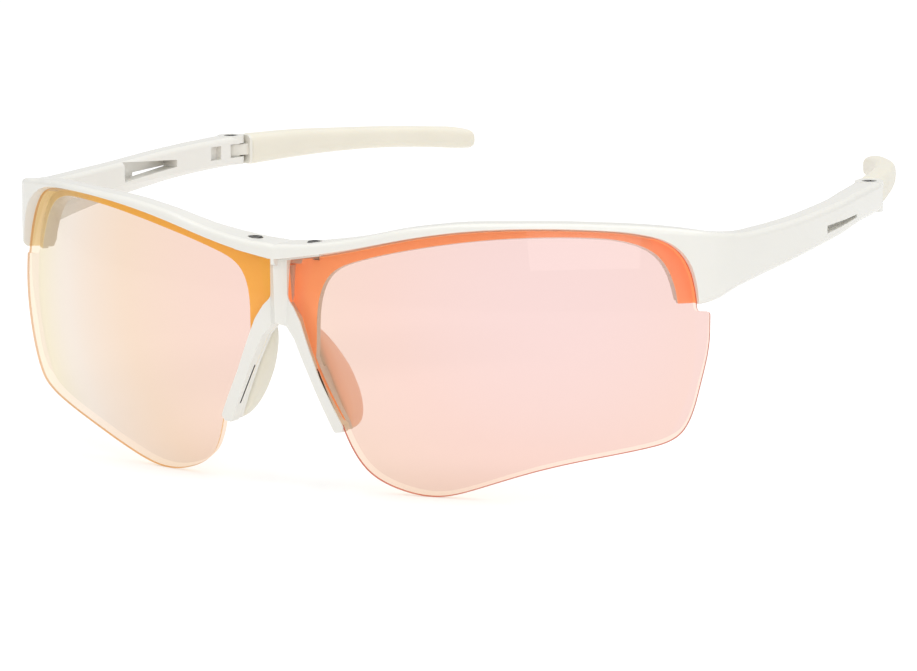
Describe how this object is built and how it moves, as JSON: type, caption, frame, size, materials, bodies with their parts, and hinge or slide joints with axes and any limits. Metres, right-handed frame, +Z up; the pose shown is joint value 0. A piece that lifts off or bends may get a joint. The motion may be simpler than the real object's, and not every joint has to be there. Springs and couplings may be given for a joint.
{
  "type": "wraparound sport sunglasses",
  "caption": "Wraparound sport sunglasses: brow frame with rigid side arms, tinted spherical lenses, screwed-on nose bridge with rubber pads, and folding rubber-sleeved temple tips.",
  "frame": {"origin": "middle of the overall bounding box, on the level of the lens bottoms", "axes": "+X towards the wearer's left, the brow faces -Y, +Z up towards the brow"},
  "size_m": [0.1412, 0.1396, 0.046],
  "materials": {
    "frame": "glossy white moulded nylon",
    "bridge": "glossy white moulded nylon",
    "lens": "clear orange-pink tinted polycarbonate with a faint mirror coating",
    "pad_rubber": "satin cream soft rubber",
    "sleeve_rubber": "satin cream soft rubber",
    "pad_core": "stiff white plastic",
    "hinge_part": "cream glass-filled nylon",
    "core_wire": "bendable flat metal core",
    "screw": "dark machined steel",
    "insert": "threaded brass bush",
    "washer": "dark friction washer"
  },
  "bodies": {
    "front": {"front_frame": "frame", "left_lens": "lens", "right_lens": "lens", "nose_bridge": "bridge", "bridge_screws": "screw", "bridge_inserts": "insert", "left_nose_pad": "pad_rubber", "left_pad_core": "pad_core", "left_hinge_screw": "screw", "left_hinge_insert": "insert", "left_hinge_washers": "washer", "right_nose_pad": "pad_rubber", "right_pad_core": "pad_core", "right_hinge_screw": "screw", "right_hinge_insert": "insert", "right_hinge_washers": "washer"},
    "left_temple": {"left_temple_head": "hinge_part", "left_core_wire": "core_wire", "left_temple_sleeve": "sleeve_rubber"},
    "right_temple": {"right_temple_head": "hinge_part", "right_core_wire": "core_wire", "right_temple_sleeve": "sleeve_rubber"}
  },
  "joints": [
    {"name": "left_temple_fold", "type": "hinge", "parent": "front", "child": "left_temple", "pos_m": [0.0651, 0.01947, 0.0425], "axis": [0, 0, 1], "range_deg": [0, 70]},
    {"name": "right_temple_fold", "type": "hinge", "parent": "front", "child": "right_temple", "pos_m": [-0.0651, 0.01947, 0.0425], "axis": [0, 0, -1], "range_deg": [0, 70]}
  ]
}
